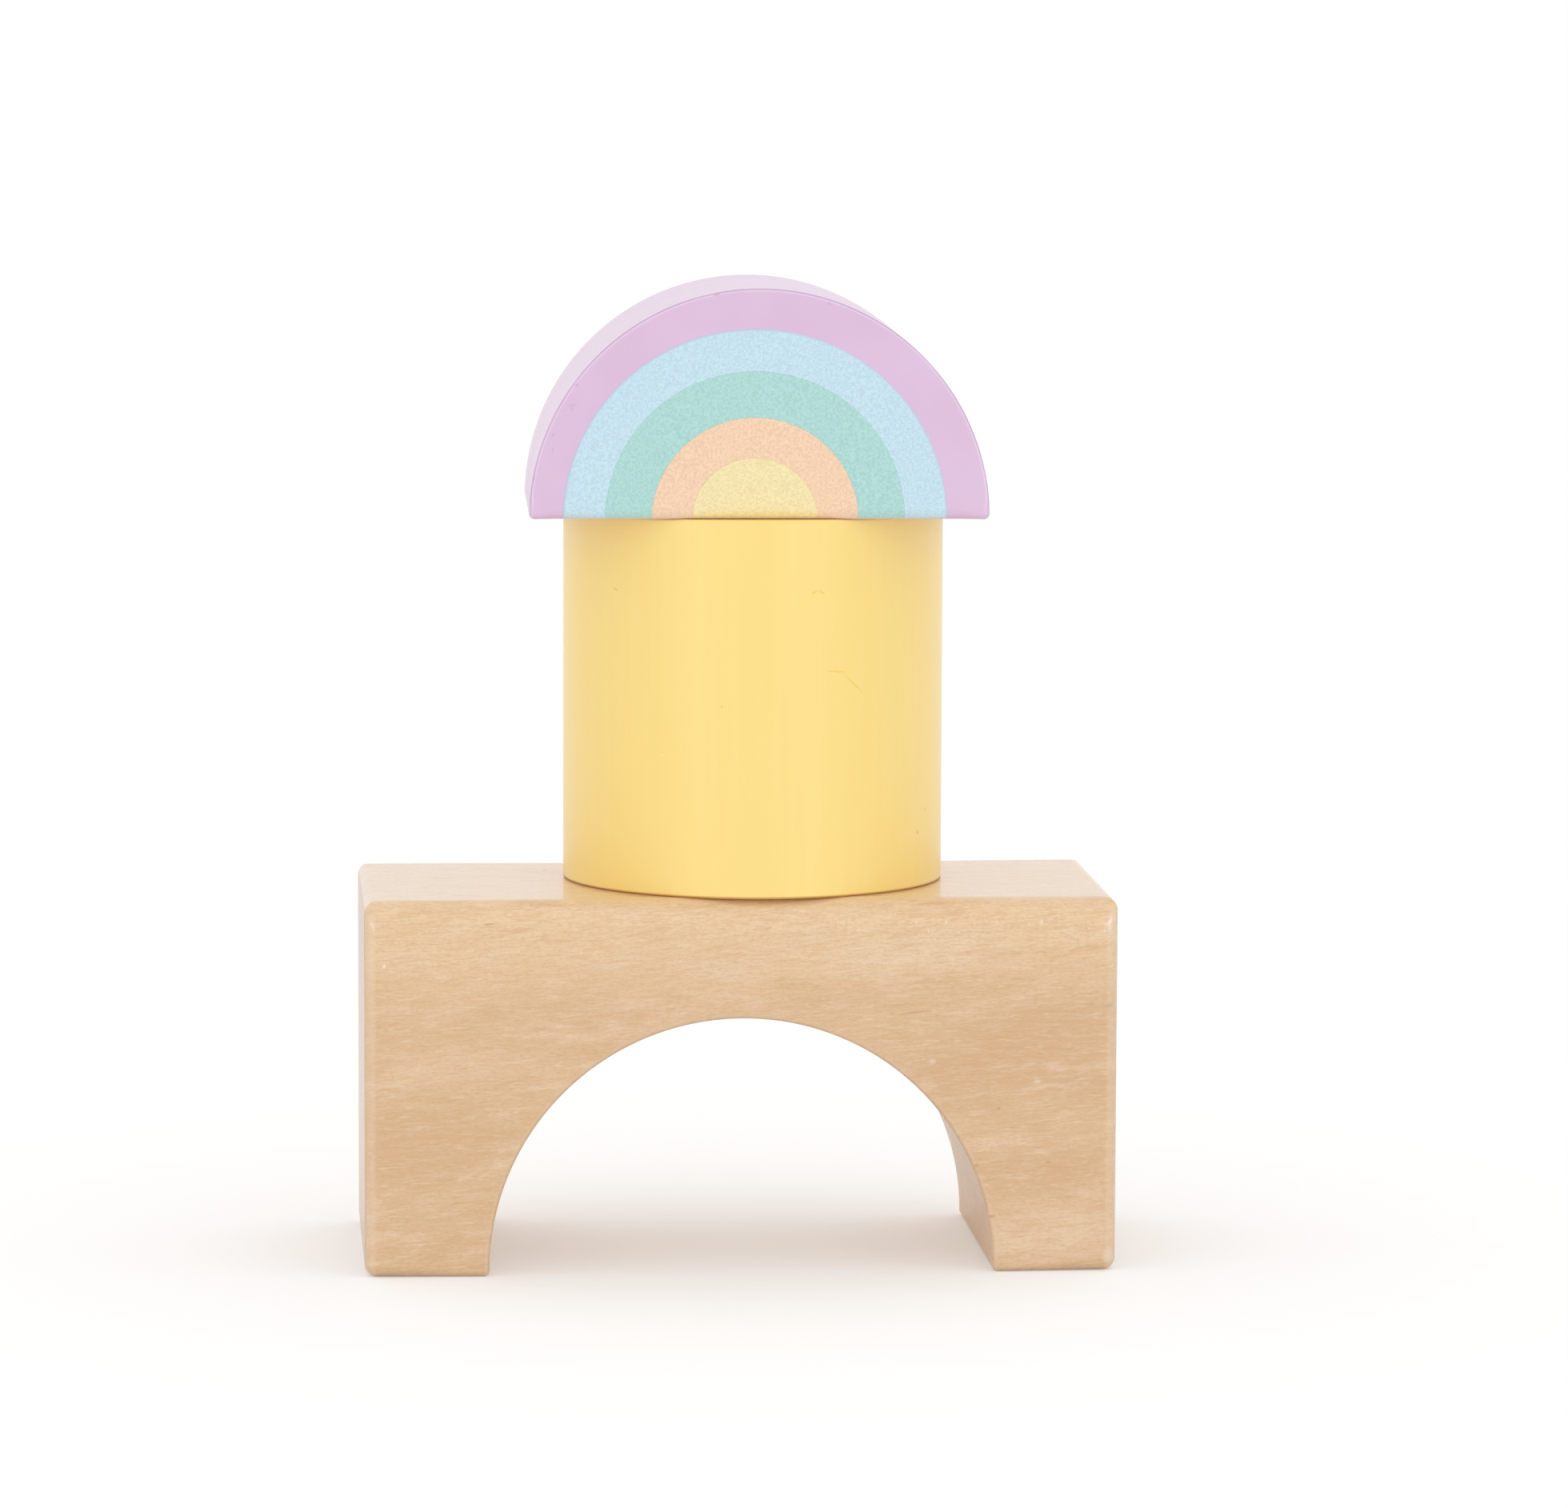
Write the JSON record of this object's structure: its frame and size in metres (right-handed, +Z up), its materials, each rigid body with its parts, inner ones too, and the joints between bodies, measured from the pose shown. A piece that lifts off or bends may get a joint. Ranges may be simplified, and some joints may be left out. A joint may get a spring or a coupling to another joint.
{
  "type": "stack of wooden toy blocks",
  "caption": "Stack of loose wooden toy blocks: a plain arch, a painted round column and a painted half-round with a printed rainbow. Each block lifts off the one below.",
  "frame": {"origin": "middle of the box around the stack, at the height of the surface that the arch stands on", "axes": "+Z up; -Y towards the printed face, the front; +X to the right as seen from the front"},
  "size_m": [0.08, 0.0422, 0.1045],
  "materials": {
    "arch_wood": "clear satin lacquer on pale, fine-grained wood",
    "column_paint": "satin yellow paint on turned wood",
    "half_round_paint": "satin lavender paint, the grain still showing",
    "blue_ink": "matt printed ink, finely grained",
    "green_ink": "matt printed ink, finely grained",
    "peach_ink": "matt printed ink, finely grained",
    "yellow_ink": "matt printed ink, finely grained"
  },
  "bodies": {
    "arch": {"arch_block": "arch_wood"},
    "column": {"column_block": "column_paint"},
    "half_round": {"half_round_block": "half_round_paint", "print_band_blue": "blue_ink", "print_band_green": "green_ink", "print_band_peach": "peach_ink", "print_band_yellow": "yellow_ink"}
  },
  "joints": [
    {"name": "column_lift", "type": "slide", "parent": "arch", "child": "column", "axis": [0, 0, 1], "range_m": [0, 0.05]},
    {"name": "half_round_lift", "type": "slide", "parent": "column", "child": "half_round", "axis": [0, 0, 1], "range_m": [0, 0.04]}
  ]
}
